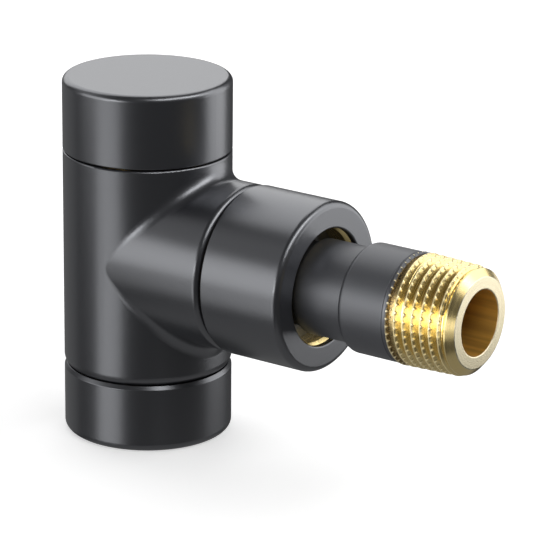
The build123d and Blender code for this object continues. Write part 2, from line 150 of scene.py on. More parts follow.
class Stage(bpy.types.PropertyGroup):
    """Camera, floor and lights."""

    azimuth: FloatProperty(
        name="Azimuth", description="Camera's turn round the valve", subtype="ANGLE",
        default=math.radians(35.406))
    elevation: FloatProperty(
        name="Elevation", description="Camera's angle above the horizon", subtype="ANGLE",
        default=math.radians(18.32))
    roll: FloatProperty(
        name="Roll", description="Camera's turn about its own axis", subtype="ANGLE",
        default=math.radians(0.554))
    distance: length("Distance", "From the camera to the point it looks at", 0.6395)
    aim: FloatVectorProperty(
        name="Aim", description="Point that the camera looks at", unit="LENGTH",
        default=(0.01894, 0.01343, 0.03131))
    lens: FloatProperty(
        name="Lens", description="Focal length in millimetres", default=224.06)
    floor_size: length("Floor", "Side of the floor", 8.0)


# ---- arithmetic in node trees ----
class Sums:
    """Writes arithmetic as Math nodes in one tree."""

    def __init__(self, tree):
        self.tree = tree

    def put(self, socket, value):
        """Feeds a socket from another socket, or sets it to a number."""
        if isinstance(value, bpy.types.NodeSocket):
            self.tree.links.new(value, socket)
        else:
            socket.default_value = value

    def do(self, operation, *values):
        """One Math node; returns its output."""
        node = self.tree.nodes.new("ShaderNodeMath")
        node.operation = operation
        for socket, value in zip(node.inputs, values):
            self.put(socket, value)
        return node.outputs[0]

    def add(self, *values):
        """Sum of two or more values."""
        total = values[0]
        for value in values[1:]:
            total = self.do("ADD", total, value)
        return total

    def sub(self, a, b):
        return self.do("SUBTRACT", a, b)

    def mul(self, a, b):
        return self.do("MULTIPLY", a, b)

    def div(self, a, b):
        return self.do("DIVIDE", a, b)

    def least(self, *values):
        """Smallest of the values."""
        result = values[0]
        for value in values[1:]:
            result = self.do("MINIMUM", result, value)
        return result

    def most(self, *values):
        """Largest of the values."""
        result = values[0]
        for value in values[1:]:
            result = self.do("MAXIMUM", result, value)
        return result

    def ramp(self, value, low, high, at_low=0.0, at_high=1.0, smooth=False):
        """Clamped Map Range from low..high to at_low..at_high."""
        node = self.tree.nodes.new("ShaderNodeMapRange")
        node.clamp = True
        node.interpolation_type = "SMOOTHSTEP" if smooth else "LINEAR"
        for name, item in zip(
                ("Value", "From Min", "From Max", "To Min", "To Max"),
                (value, low, high, at_low, at_high)):
            self.put(node.inputs[name], item)
        return node.outputs[0]


# ---- materials ----
class Finish:
    """One material with a Principled shader and the nodes that feed it."""

    def __init__(self, name):
        self.material = bpy.data.materials.new(name)
        self.material.use_nodes = True
        self.tree = self.material.node_tree
        self.shader = self.tree.nodes["Principled BSDF"]
        self.sums = Sums(self.tree)
        coords = self.tree.nodes.new("ShaderNodeTexCoord")
        self.place = coords.outputs["Object"]
        split = self.tree.nodes.new("ShaderNodeSeparateXYZ")
        self.tree.links.new(self.place, split.inputs[0])
        self.x, self.y, self.z = split.outputs

    def set(self, **values):
        """Sets or feeds the shader's inputs, named with underscores for spaces."""
        for name, value in values.items():
            self.sums.put(self.shader.inputs[name.replace("_", " ")], value)

    def from_axis(self, axis):
        """(distance from, distance along) the spindle axis "z" or the tailpipe axis "x"."""
        s = self.sums
        if axis == "z":
            across, along = (self.x, self.y), self.z
        else:
            across, along = (self.y, s.sub(self.z, PIPE_AXIS_Z)), self.x
        squares = [s.mul(part, part) for part in across]
        return s.do("SQRT", s.add(*squares)), along

    def attribute(self, name):
        """A named value that the mesh carries."""
        node = self.tree.nodes.new("ShaderNodeAttribute")
        node.attribute_name = name
        return node.outputs["Fac"]

    def noise(self, size, detail=2.0, vector=None, seed=0.0):
        """Noise with features of the given size in metres."""
        node = self.tree.nodes.new("ShaderNodeTexNoise")
        node.noise_dimensions = "4D"
        node.inputs["W"].default_value = seed
        node.inputs["Scale"].default_value = 1 / size
        node.inputs["Detail"].default_value = detail
        self.tree.links.new(vector or self.place, node.inputs["Vector"])
        return node.outputs["Fac"]

    def mix(self, factor, a, b):
        """Blend of two colours, or of two numbers."""
        node = self.tree.nodes.new("ShaderNodeMix")
        is_number = isinstance(a, float) or getattr(a, "type", "") == "VALUE"
        node.data_type = "FLOAT" if is_number else "RGBA"
        ends = (2, 3) if is_number else (6, 7)
        self.sums.put(node.inputs[0], factor)
        for index, value in zip(ends, (a, b)):
            if not is_number and not isinstance(value, bpy.types.NodeSocket):
                value = (*value, 1.0)
            self.sums.put(node.inputs[index], value)
        return node.outputs[0 if is_number else 2]

    def bump(self, height, distance, strength=1.0, below=None):
        """Bump from a height of 0 to 1 that stands for the given distance in metres."""
        node = self.tree.nodes.new("ShaderNodeBump")
        node.inputs["Strength"].default_value = strength
        node.inputs["Distance"].default_value = distance
        self.tree.links.new(height, node.inputs["Height"])
        if below is not None:
            self.tree.links.new(below, node.inputs["Normal"])
        return node.outputs[0]

    def tool_marks(self, axis, size, seed=0.0):
        """Fine rings that a lathe tool leaves, even all the way round."""
        radius, along = self.from_axis(axis)
        join = self.tree.nodes.new("ShaderNodeCombineXYZ")
        self.tree.links.new(radius, join.inputs[0])
        self.tree.links.new(along, join.inputs[1])
        return self.noise(size, detail=1.0, vector=join.outputs[0], seed=seed)


def brass_layers(finish, axis):
    """(colour, roughness, height) of turned brass about one axis."""
    look = bpy.context.scene.valve_finishes
    marks = finish.tool_marks(axis, 0.12 * MM)
    broad = finish.noise(2.5 * MM, detail=3.0, seed=3.0)
    fine = finish.tool_marks(axis, 0.5 * MM, seed=5.0)
    s = finish.sums
    tone = s.add(s.mul(broad, 0.5), s.mul(fine, 0.5))
    dull = s.ramp(tone, 0.52, 0.75, 0.0, 0.25, smooth=True)
    base = finish.mix(dull, tuple(look.brass), tuple(look.tarnish))
    rough = s.ramp(marks, 0.3, 0.7, look.brass_gloss - 0.05, look.brass_gloss + 0.08)
    return base, rough, marks


def paint_layers(finish):
    """(colour, roughness, height) of satin paint with a faint orange peel."""
    look = bpy.context.scene.valve_finishes
    s = finish.sums
    cloud = finish.noise(6 * MM, detail=2.0, seed=1.0)
    speck = finish.noise(0.09 * MM, detail=1.0, seed=2.0)
    peel = finish.noise(0.7 * MM, detail=1.0, seed=4.0)
    low = tuple(part * 0.93 for part in look.paint)
    high = tuple(part * 1.08 for part in look.paint)
    base = finish.mix(s.add(s.mul(cloud, 0.7), s.mul(speck, 0.3)), low, high)
    rough = s.ramp(speck, 0.25, 0.75, look.paint_gloss - 0.03, look.paint_gloss + 0.03)
    return base, rough, s.add(s.mul(peel, 0.8), s.mul(speck, 0.2))


def bare_brass(name, axis):
    """Bare brass turned about one axis."""
    finish = Finish(name)
    base, rough, height = brass_layers(finish, axis)
    finish.set(Base_Color=base, Metallic=1.0, Roughness=rough)
    finish.set(Normal=finish.bump(height, 0.004 * MM, 0.5))
    return finish.material


def shaded(finish, axis):
    """Painted shade and painted reflections in a bore: dim brown with lighter streaks that run along it.
    """
    look = bpy.context.scene.valve_finishes
    stretch = finish.tree.nodes.new("ShaderNodeVectorMath")
    stretch.operation = "MULTIPLY"
    finish.tree.links.new(finish.place, stretch.inputs[0])
    stretch.inputs[1].default_value = (0.04, 1.0, 1.0) if axis == "x" else (1.0, 1.0, 0.04)
    reflection_streak = finish.noise(1.1 * MM, detail=3.0, vector=stretch.outputs[0], seed=11.0)
    shaded_tone = tuple(part * 0.7 for part in look.bore)
    return finish.mix(finish.sums.ramp(reflection_streak, 0.38, 0.62), shaded_tone, tuple(look.bore))


def painted_brass(name, axis, painted, spray=None, bore_r=0.0, duller=0.0):
    """Satin paint over brass; painted(finish) gives a socket that is 1 under the paint.

    spray(finish) gives stain and dust beside the paint, a bore_r above 0 adds a bore with painted shade
    and painted reflection streaks, an end face paler for a painted highlight and crests and teeth
    brighter for rubbed wear and a painted highlight, and duller is how much the paint lacks of the usual
    sheen.
    """
    look = bpy.context.scene.valve_finishes
    finish = Finish(name)
    s = finish.sums
    cover = painted(finish)
    metal, metal_rough, metal_height = brass_layers(finish, axis)
    if spray is not None:
        stain, dust = spray(finish)
        metal = finish.mix(stain, metal, (0.20, 0.11, 0.03))
        metal = finish.mix(dust, metal, (0.03, 0.028, 0.026))
        metal_rough = s.add(metal_rough, s.mul(s.most(stain, dust), 0.25))
    radius, along = finish.from_axis(axis)
    # In the bore: painted shade and painted reflection streaks, with less metal so the brown shows under
    # the lamps.
    inside = s.ramp(radius, bore_r + 0.04 * MM, bore_r + 0.1 * MM, 1.0, 0.0)
    metal = finish.mix(inside, metal, shaded(finish, axis))
    metal_rough = finish.mix(inside, metal_rough, 0.36)
    shine = finish.mix(inside, 1.0, 0.55)
    if bore_r > 0:
        # Paler brass on the end face: a painted highlight tone where the bright reflection falls.
        highlit = over(finish, along, PIPE_HIGH.x - 0.1 * MM)
        metal = finish.mix(highlit, metal, tuple(look.highlit))
        # Crests and teeth: paler, brighter brass with less metal, partly rubbed wear and partly a
        # painted highlight.
        worn_and_highlit = s.most(finish.attribute("tooth"), s.mul(finish.attribute("crest"), 0.65))
        metal = finish.mix(worn_and_highlit, metal, tuple(look.worn_and_highlit))
        metal_rough = finish.mix(worn_and_highlit, metal_rough, 0.42)
        shine = finish.mix(worn_and_highlit, shine, 0.45)
    coat, coat_rough, coat_height = paint_layers(finish)
    finish.set(
        Base_Color=finish.mix(cover, metal, coat),
        Metallic=s.mul(shine, s.sub(1.0, cover)),
        Roughness=finish.mix(cover, metal_rough, s.add(coat_rough, duller)),
        IOR=look.paint_ior * (1 - duller),
        Specular_Tint=finish.mix(cover, (1.0, 1.0, 1.0), (0.93, 0.95, 1.0)),
    )
    height = finish.mix(cover, s.mul(metal_height, 0.12), coat_height)
    finish.set(Normal=finish.bump(height, 0.012 * MM, 0.5))
    return finish.material


def sealing_rubber(name):
    """Matt black rubber with a little bloom."""
    finish = Finish(name)
    look = bpy.context.scene.valve_finishes
    bloom = finish.noise(0.8 * MM, detail=4.0)
    grain = finish.noise(0.12 * MM, detail=1.0, seed=2.0)
    paler = tuple(part * 1.9 for part in look.rubber)
    base = finish.mix(finish.sums.ramp(bloom, 0.45, 0.8), tuple(look.rubber), paler)
    finish.set(Base_Color=base, Roughness=finish.sums.ramp(bloom, 0.3, 0.7, 0.5, 0.68))
    finish.set(Normal=finish.bump(grain, 0.01 * MM, 0.5))
    return finish.material


def gland_plastic(name):
    """Waxy off-white plastic."""
    finish = Finish(name)
    look = bpy.context.scene.valve_finishes
    cloud = finish.noise(1.5 * MM, detail=3.0)
    deeper = tuple(part * 0.86 for part in look.plastic)
    finish.set(Base_Color=finish.mix(cloud, deeper, tuple(look.plastic)))
    finish.set(Roughness=finish.sums.ramp(cloud, 0.3, 0.7, 0.38, 0.5))
    finish.set(Normal=finish.bump(finish.tool_marks("z", 0.2 * MM), 0.006 * MM, 0.5))
    return finish.material


def spring_steel(name):
    """Brushed grey steel."""
    finish = Finish(name)
    look = bpy.context.scene.valve_finishes
    marks = finish.tool_marks("z", 0.1 * MM)
    cloud = finish.noise(1.2 * MM, detail=2.0, seed=1.0)
    duller = tuple(part * 0.72 for part in look.steel)
    finish.set(Base_Color=finish.mix(cloud, duller, tuple(look.steel)), Metallic=1.0)
    finish.set(Roughness=finish.sums.ramp(marks, 0.3, 0.7, 0.24, 0.4))
    finish.set(Normal=finish.bump(marks, 0.004 * MM, 0.5))
    return finish.material


# ---- where each painted piece carries its paint ----
PAINT_WALL = 1.5 * MM     # inner faces this far inside a shell's outside are bare
PAINT_END = 0.7 * MM      # inner faces this far inside a shell's closed end are bare
FADE = 0.06 * MM          # width of a paint edge


def over(finish, value, limit):
    """1 where the value is above the limit, with a narrow edge."""
    return finish.sums.ramp(value, limit - FADE / 2, limit + FADE / 2)


def under(finish, value, limit):
    """1 where the value is below the limit, with a narrow edge."""
    return finish.sums.ramp(value, limit - FADE / 2, limit + FADE / 2, 1.0, 0.0)


def paint_on_body(finish):
    """Barrel and branch are painted; spigots, bores and seats are bare."""
    s = finish.sums
    spigot_r = SHELL_R - 2.4 * MM
    branch_end = COVER_LOW.x - 0.4 * MM
    branch_root = 10 * MM
    from_spindle, height = finish.from_axis("z")
    from_pipe, reach = finish.from_axis("x")
    on_barrel = over(finish, from_spindle, spigot_r)
    off_outlet = s.most(over(finish, from_pipe, spigot_r), under(finish, reach, branch_root))
    low = over(finish, height, INLET_HIGH.z + 0.15 * MM)
    high = under(finish, height, CAP_LOW.z - 0.1 * MM)
    near = under(finish, reach, branch_end)
    return s.least(on_barrel, off_outlet, low, high, near)


def paint_on_cap(finish):
    """The cap's outside and top."""
    radius, height = finish.from_axis("z")
    side = over(finish, radius, SHELL_R - PAINT_WALL)
    return finish.sums.most(side, over(finish, height, CAP_HIGH.z - PAINT_END))


def paint_on_nut_cover(finish):
    """The whole nut cover, inside and out."""
    radius, reach = finish.from_axis("x")
    side = over(finish, radius, SHELL_R - PAINT_WALL)
    return finish.sums.most(side, over(finish, reach, COVER_HIGH.x - PAINT_WALL))


def paint_on_inlet_cover(finish):
    """The inlet cover's outside and underside."""
    radius, height = finish.from_axis("z")
    side = over(finish, radius, SHELL_R - PAINT_WALL)
    return finish.sums.most(side, under(finish, height, INLET_LOW.z + PAINT_END))


def joint_shade_on_clamp_nut(finish):
    """Dark paint on the collar that shows in the joint over the inlet cover: painted shade in the joint.
    """
    collar_h = 3 * MM
    return over(finish, finish.z, INLET_HIGH.z - collar_h)


def tailpipe_paint_end():
    """Where the paint ends on the tailpipe: on the first crest."""
    sizes = bpy.context.scene.valve_tailpipe
    return thread_start(sizes) + 0.42 * sizes.pitch


def paint_on_tailpipe(finish):
    """From the flange's front up to a ragged edge on the first crest."""
    s = finish.sums
    sizes = bpy.context.scene.valve_tailpipe
    radius, reach = finish.from_axis("x")
    ragged = s.mul(s.sub(finish.noise(0.35 * MM, detail=3.0, seed=7.0), 0.5), 0.3 * MM)
    front = s.ramp(s.add(reach, ragged), tailpipe_paint_end(), tailpipe_paint_end() + 0.1 * MM, 1.0, 0.0)
    rear = over(finish, reach, PIPE_LOW.x + sizes.flange_h - 0.5 * MM)
    outside = over(finish, radius, sizes.waist_r - 0.3 * MM)
    chipped = s.mul(
        over(finish, reach, thread_start(sizes) + 0.2 * sizes.pitch),
        s.ramp(finish.attribute("tooth"), 0.6, 0.9))
    return s.mul(s.least(front, rear, outside), s.sub(1.0, chipped))


def spray_on_tailpipe(finish):
    """(stain, dust) of thin overspray that fades along the first groove."""
    s = finish.sums
    sizes = bpy.context.scene.valve_tailpipe
    radius, reach = finish.from_axis("x")
    start = tailpipe_paint_end()
    fade = s.ramp(reach, start + 0.25 * sizes.pitch, start + 0.95 * sizes.pitch, 1.0, 0.0)
    outside = over(finish, radius, sizes.face_r)
    speck = finish.noise(0.13 * MM, detail=2.0, seed=9.0)
    dust = s.ramp(s.add(speck, s.mul(fade, 0.14)), 0.6, 0.7)
    stain = s.mul(s.mul(fade, 0.8), outside)
    return stain, s.mul(s.mul(dust, outside), s.ramp(fade, 0.0, 0.3))


# ---- turned shapes ----
def softened(corners):
    """Points of an outline whose (x, r, rounding) corners are rounded with arcs.

    A point on each side of an arc keeps the flats beside it flat in smooth shading.
    """
    points = []
    for index, (x, r, rounding) in enumerate(corners):
        here = Vector((x, r))
        if rounding == 0:
            points.append(here)
            continue
        before = (Vector(corners[index - 1][:2]) - here).normalized()
        after = (Vector(corners[(index + 1) % len(corners)][:2]) - here).normalized()
        corner = before.angle(after)
        reach = rounding / math.tan(corner / 2)
        centre = here + (before + after).normalized() * (rounding / math.sin(corner / 2))
        first = here + before * reach - centre
        sweep = math.pi - corner
        step = math.radians(9 if rounding > 0.5 * MM else 18)
        if before.y * after.x - before.x * after.y < 0:
            sweep = -sweep
        count = max(2, round(abs(sweep) / step))
        guard = reach + min(rounding / 2, 0.08 * MM)
        points.append(here + before * guard)
        for part in range(count + 1):
            turn = Matrix.Rotation(sweep * part / count, 2)
            points.append(centre + turn @ first)
        points.append(here + after * guard)
    return points


def lathe(name, outline, segments, closed, axis="x"):
    """Shell of revolution from (along, r) points, about the tailpipe "x" or spindle "z" axis."""
    mesh = bpy.data.meshes.new(name)
    work = bmesh.new()
    rings = []
    for point in outline:
        ring = []
        for index in range(segments):
            angle = 2 * math.pi * index / segments
            side = point[1] * math.cos(angle)
            rise = point[1] * math.sin(angle)
            if axis == "x":
                place = (point[0], side, PIPE_AXIS_Z + rise)
            else:
                place = (rise, side, point[0])
            ring.append(work.verts.new(place))
        rings.append(ring)
    pairs = list(zip(rings, rings[1:]))
    if closed:
        pairs.append((rings[-1], rings[0]))
    for near, far in pairs:
        for index in range(segments):
            following = (index + 1) % segments
            work.faces.new((near[index], far[index], far[following], near[following]))
    bmesh.ops.recalc_face_normals(work, faces=work.faces)
    work.to_mesh(mesh)
    work.free()
    item = bpy.data.objects.new(name, mesh)
    bpy.context.scene.collection.objects.link(item)
    return item


def neck_start(sizes):
    """Where the neck begins along the tailpipe."""
    return PIPE_LOW.x + sizes.flange_h + sizes.waist_len


def thread_start(sizes):
    """Where the radiator thread begins: its turns and lead end at the end face."""
    return thread_end(sizes) - sizes.turns * sizes.pitch


def thread_end(sizes):
    """Where the radiator thread ends, short of the land and the chamfer."""
    land = 0.3 * MM
    return PIPE_HIGH.x - sizes.chamfer - land


# ---- the helical thread, as a Geometry Nodes tree ----
COLUMNS_PER_TOOTH = 8
ROWS_PER_PITCH = 16
FLAT = 0.03               # half of a crest's or a root's flat, as a share of the pitch


def tree_input(tree, name, kind, default=None):
    """Adds a named input to a node group."""
    socket = tree.interface.new_socket(name, in_out="INPUT", socket_type=kind)
    if default is not None:
        socket.default_value = default
    return socket


def thread_tree():
    """Tree that adds a toothed helical taper thread about the X axis and welds it in."""
    tree = bpy.data.node_groups.new("toothed_taper_thread", "GeometryNodeTree")
    tree_input(tree, "Geometry", "NodeSocketGeometry")
    for name in ("Start", "Pitch", "Crest Radius", "Depth", "Taper", "Tooth Drop",
                 "Tooth Reach", "Start Radius", "End Radius", "Axis Height", "Lead Turn"):
        tree_input(tree, name, "NodeSocketFloat", 0.0)
    for name in ("Turns", "Teeth"):
        tree_input(tree, name, "NodeSocketInt", 1)
    tree_input(tree, "Material", "NodeSocketMaterial")
    tree.interface.new_socket("Geometry", in_out="OUTPUT", socket_type="NodeSocketGeometry")
    nodes = tree.nodes
    links = tree.links
    given = nodes.new("NodeGroupInput").outputs
    s = Sums(tree)
    around = s.add(given["Turns"], 2.0)
    segments = s.mul(given["Teeth"], float(COLUMNS_PER_TOOTH))
    grid = nodes.new("GeometryNodeMeshGrid")
    grid.inputs["Size X"].default_value = 1.0
    grid.inputs["Size Y"].default_value = 1.0
    links.new(s.add(s.mul(around, segments), 1.0), grid.inputs["Vertices X"])
    grid.inputs["Vertices Y"].default_value = ROWS_PER_PITCH + 1
    flat = nodes.new("ShaderNodeSeparateXYZ")
    links.new(nodes.new("GeometryNodeInputPosition").outputs[0], flat.inputs[0])
    turn = s.mul(s.add(flat.outputs[0], 0.5), around)
    row = s.mul(s.add(flat.outputs[1], 0.5), float(ROWS_PER_PITCH))

    # rows stand on the edges of the crest's and the root's flats, six along each flank
    across = s.add(
        s.ramp(row, 0.0, 1.0, 0.0, FLAT),
        s.ramp(row, 1.0, 7.0, 0.0, 0.5 - 2 * FLAT),
        s.ramp(row, 7.0, 9.0, 0.0, 2 * FLAT),
        s.ramp(row, 9.0, 15.0, 0.0, 0.5 - 2 * FLAT),
        s.ramp(row, 15.0, 16.0, 0.0, FLAT))

    # place along the axis, held between the two ends of the thread
    span = s.mul(given["Pitch"], given["Turns"])
    along = s.mul(s.sub(s.add(turn, across), 1.0), given["Pitch"])
    along = s.most(s.least(along, span), 0.0)
    phase = s.do("FRACT", s.sub(s.div(along, given["Pitch"]), turn))
    from_crest = s.do("ABSOLUTE", s.sub(phase, 0.5))
    height = s.ramp(from_crest, FLAT, 0.5 - FLAT, 1.0, 0.0)

    # radius: thread profile, with each tooth a triangle at the crest's height over one flank
    crest = s.sub(given["Crest Radius"], s.mul(given["Taper"], along))
    profile = s.sub(crest, s.mul(given["Depth"], s.sub(1.0, height)))
    turned = s.do("FRACT", s.mul(turn, given["Teeth"]))
    step = 1 / COLUMNS_PER_TOOTH
    plan = s.least(
        s.ramp(turned, step, 3 * step, 0.0, 1.0),
        s.ramp(turned, 3 * step, 5 * step, 1.0, 0.0),
        s.ramp(s.div(s.sub(span, along), given["Pitch"]), 0.35, 0.7, 0.0, 1.0))
    behind = s.sub(phase, 0.5)
    beyond = s.sub(behind, s.mul(plan, given["Tooth Reach"]))
    raised = s.mul(
        s.ramp(beyond, FLAT, FLAT + 0.06, 1.0, 0.0),
        s.ramp(behind, 0.0, 0.02, 0.0, 1.0))
    level = s.most(s.sub(crest, given["Tooth Drop"]), profile)
    radius = s.add(profile, s.mul(raised, s.sub(level, profile)))
    left = s.sub(span, along)
    radius = s.most(
        radius,
        s.sub(given["Start Radius"], s.mul(along, 0.27)),
        s.sub(given["End Radius"], s.mul(left, 0.55)))
    radius = s.least(
        radius,
        s.add(given["Start Radius"], s.mul(along, 0.7)),
        s.add(given["End Radius"], s.mul(left, 0.45)))

    angle = s.mul(s.sub(turn, given["Lead Turn"]), 2 * math.pi)
    place = nodes.new("ShaderNodeCombineXYZ")
    links.new(s.add(given["Start"], along), place.inputs[0])
    links.new(s.mul(radius, s.do("COSINE", angle)), place.inputs[1])
    links.new(s.add(given["Axis Height"], s.mul(radius, s.do("SINE", angle))), place.inputs[2])
    crest_line = s.ramp(from_crest, FLAT - 0.01, FLAT + 0.03, 1.0, 0.0)
    surface = grid.outputs["Mesh"]
    for name, value in (("tooth", s.mul(raised, plan)), ("crest", crest_line)):
        mark = nodes.new("GeometryNodeStoreNamedAttribute")
        mark.data_type = "FLOAT"
        mark.domain = "POINT"
        mark.inputs["Name"].default_value = name
        links.new(surface, mark.inputs["Geometry"])
        links.new(value, mark.inputs["Value"])
        surface = mark.outputs[0]
    move = nodes.new("GeometryNodeSetPosition")
    links.new(surface, move.inputs["Geometry"])
    links.new(place.outputs[0], move.inputs["Position"])
    flip = nodes.new("GeometryNodeFlipFaces")
    links.new(move.outputs[0], flip.inputs[0])
    join = nodes.new("GeometryNodeJoinGeometry")
    links.new(flip.outputs[0], join.inputs[0])
    links.new(given["Geometry"], join.inputs[0])
    weld = nodes.new("GeometryNodeMergeByDistance")
    weld.inputs["Distance"].default_value = 0.002 * MM
    links.new(join.outputs[0], weld.inputs[0])
    real = nodes.new("GeometryNodeRealizeInstances")
    links.new(weld.outputs[0], real.inputs[0])
    dress = nodes.new("GeometryNodeSetMaterial")
    links.new(real.outputs[0], dress.inputs[0])
    links.new(given["Material"], dress.inputs["Material"])
    result = nodes.new("NodeGroupOutput")
    links.new(dress.outputs[0], result.inputs[0])
    return tree


def run_tree(item, tree, values):
    """Evaluates a tree on an object with named inputs and keeps the plain mesh."""
    modifier = item.modifiers.new(tree.name, "NODES")
    modifier.node_group = tree
    for socket in tree.interface.items_tree:
        if socket.in_out == "INPUT" and socket.name in values:
            modifier[socket.identifier] = values[socket.name]
    bpy.context.view_layer.update()
    evaluated = item.evaluated_get(bpy.context.evaluated_depsgraph_get())
    mesh = bpy.data.meshes.new_from_object(evaluated)
    item.modifiers.clear()
    old = item.data
    item.data = mesh
    mesh.name = item.name
    bpy.data.meshes.remove(old)
    return item


def smooth(item, angle=math.radians(28)):
    """Smooth shading with edges sharper than the angle kept crisp."""
    item.data.shade_smooth()
    item.data.set_sharp_from_angle(angle=angle)


def dress_node(name, material):
    """Gives a carried-over node its material."""
    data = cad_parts[name].data
    data.materials.clear()
    data.materials.append(material)


# ---- operators ----
class VALVE_OT_painted_shells(bpy.types.Operator):
    """Paint the body, the cap and the nut cover"""

    bl_idname = "valve.painted_shells"
    bl_label = "Painted shells"

    def execute(self, context):
        dress_node("valve_body", painted_brass("body_paint", "z", paint_on_body))
        dress_node("cap", painted_brass("cap_paint", "z", paint_on_cap))
        dress_node("nut_cover", painted_brass("nut_cover_paint", "x", paint_on_nut_cover))
        return {"FINISHED"}


class VALVE_OT_inlet_cover(bpy.types.Operator):
    """Build the inlet cover with the lip that closes its joint with the body"""

    bl_idname = "valve.inlet_cover"
    bl_label = "Inlet cover"

    def execute(self, context):
        sizes = context.scene.valve_inlet_cover
        top = INLET_HIGH.z
        inner = SHELL_R - sizes.wall
        lip_r = SHELL_R - sizes.lip_in
        corners = [
            (0.0, sizes.bore_r, 0.1 * MM),
            (0.0, SHELL_R, sizes.foot),
            (top - sizes.bevel, SHELL_R, 0.15 * MM),
            (top + sizes.lip_h, lip_r, 0.12 * MM),
            (top + sizes.lip_h / 2, inner, 0.05 * MM),
            (sizes.wall, inner, 0.1 * MM),
            (sizes.wall, sizes.bore_r, 0.1 * MM),
        ]
        cover = lathe("inlet_cover_body", softened(corners), 256, closed=True, axis="z")
        cover.data.materials.append(
            painted_brass("inlet_cover_paint", "z", paint_on_inlet_cover))
        smooth(cover)
        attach(cover, "inlet_sleeve")
        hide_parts("inlet_cover")
        return {"FINISHED"}


class VALVE_OT_tailpipe(bpy.types.Operator):
    """Build the tailpipe with its toothed taper thread"""

    bl_idname = "valve.tailpipe"
    bl_label = "Tailpipe"

    def execute(self, context):
        sizes = context.scene.valve_tailpipe
        flange_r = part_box("tailpipe")[1].y
        rear = PIPE_LOW.x
        waist = rear + sizes.flange_h
        neck = neck_start(sizes)
        shoulder = neck + sizes.neck_len
        relief = shoulder + sizes.shoulder_len
        ring_low, ring_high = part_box("tail_o_ring")
        groove_out = ring_high.y + 0.12 * MM
        groove_in = groove_out - (ring_high.x - ring_low.x) - 0.2 * MM
        groove_floor = ring_high.x + 0.05 * MM
        small = 0.25 * MM
        corners = [
            (thread_end(sizes), sizes.end_r, 0),
            (PIPE_HIGH.x - sizes.chamfer, sizes.end_r, 0),
            (PIPE_HIGH.x, sizes.face_r, 0.12 * MM),
            (PIPE_HIGH.x, sizes.bore_r, 0.15 * MM),
            (rear, sizes.bore_r, small),
            (rear, groove_in, 0),
            (groove_floor, groove_in, 0),
            (groove_floor, groove_out, 0),
            (rear, groove_out, 0),
            (rear, flange_r, small),
            (waist, flange_r, small),
            (waist, sizes.waist_r, small),
            (neck, sizes.waist_r, small),
            (neck, sizes.neck_r, 0.8 * MM),
            (shoulder, sizes.neck_r, 0.05 * MM),
            (shoulder, sizes.shoulder_r, 1.2 * MM),
            (relief, sizes.shoulder_r, 0.12 * MM),
            (relief + 0.05 * MM, sizes.start_r, 0.0),
            (thread_start(sizes), sizes.start_r, 0),
        ]
        segments = sizes.teeth * COLUMNS_PER_TOOTH
        pipe = lathe("tailpipe_body", softened(corners), segments, closed=False)
        finish = painted_brass(
            "tailpipe_paint", "x", paint_on_tailpipe, spray_on_tailpipe, sizes.bore_r, 0.13)
        run_tree(pipe, thread_tree(), {
            "Start": thread_start(sizes), "Pitch": sizes.pitch, "Crest Radius": sizes.crest_r,
            "Depth": sizes.depth, "Taper": sizes.taper, "Tooth Drop": sizes.tooth_drop,
            "Tooth Reach": sizes.tooth_reach,
            "Start Radius": sizes.start_r, "End Radius": sizes.end_r,
            "Axis Height": PIPE_AXIS_Z, "Lead Turn": sizes.lead_turn,
            "Turns": sizes.turns, "Teeth": sizes.teeth,
            "Material": finish,
        })
        smooth(pipe)
        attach(pipe, "tail")
        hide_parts("tailpipe")
        return {"FINISHED"}


class VALVE_OT_bare_brass(bpy.types.Operator):
    """Finish the bare brass pieces"""

    bl_idname = "valve.bare_brass"
    bl_label = "Bare brass"

    def execute(self, context):
        upright = bare_brass("brass_turned_upright", "z")
        level = bare_brass("brass_turned_level", "x")
        for name in ("bonnet", "gland_nut", "spindle", "valve_disc", "disc_washer", "olive"):
            dress_node(name, upright)
        # The clamp nut's collar gets dark paint: painted shade in the joint over the inlet cover.
        dress_node("clamp_nut", painted_brass("clamp_nut_finish", "z", joint_shade_on_clamp_nut))
        dress_node("union_nut", level)
        return {"FINISHED"}


class VALVE_OT_seals(bpy.types.Operator):
    """Finish the rubber seals, the gland washer and the steel fixings"""

    bl_idname = "valve.seals"
    bl_label = "Seals and fixings"

    def execute(self, context):
        rubber = sealing_rubber("black_rubber")
        for name in ("bonnet_o_ring", "spindle_lower_o_ring", "spindle_upper_o_ring",
                     "disc_seal", "cap_seal", "tail_o_ring", "nut_cover_ring",
                     "inlet_cover_ring"):
            dress_node(name, rubber)
        dress_node("gland_washer", gland_plastic("waxy_plastic"))
        steel = spring_steel("brushed_steel")
        dress_node("disc_clip", steel)
        dress_node("disc_screw", steel)
        return {"FINISHED"}


def softbox(name, width, height, power, place, aim, only=None):
    """Rectangular soft light from its place at its aim, that may light only one object."""
    light = bpy.data.lights.new(name, "AREA")
    light.shape = "RECTANGLE"
    light.size = width
    light.size_y = height
    light.energy = power
    item = bpy.data.objects.new(name, light)
    item.location = place
    item.rotation_euler = (Vector(aim) - Vector(place)).to_track_quat("-Z", "Y").to_euler()
    item.visible_camera = False
    bpy.context.scene.collection.objects.link(item)
    if only is not None:
        lit = bpy.data.collections.new(name + "_lights")
        lit.objects.link(only)
        item.light_linking.receiver_collection = lit
    return item


def around(azimuth, elevation, distance, centre):
    """Point at a distance from the centre; azimuth 0 is towards -Y and 90 towards +X."""
    turn = math.radians(azimuth)
    rise = math.radians(elevation)
    away = Vector((math.sin(turn) * math.cos(rise), -math.cos(turn) * math.cos(rise), math.sin(rise)))
    return Vector(centre) + away * distance


VALVE_CENTRE = (0.02, 0.0, 0.036)
THREAD_FRONT = (0.067, -0.009, 0.038)
CARD_PLACE = (0.035, 0.0, -0.10)

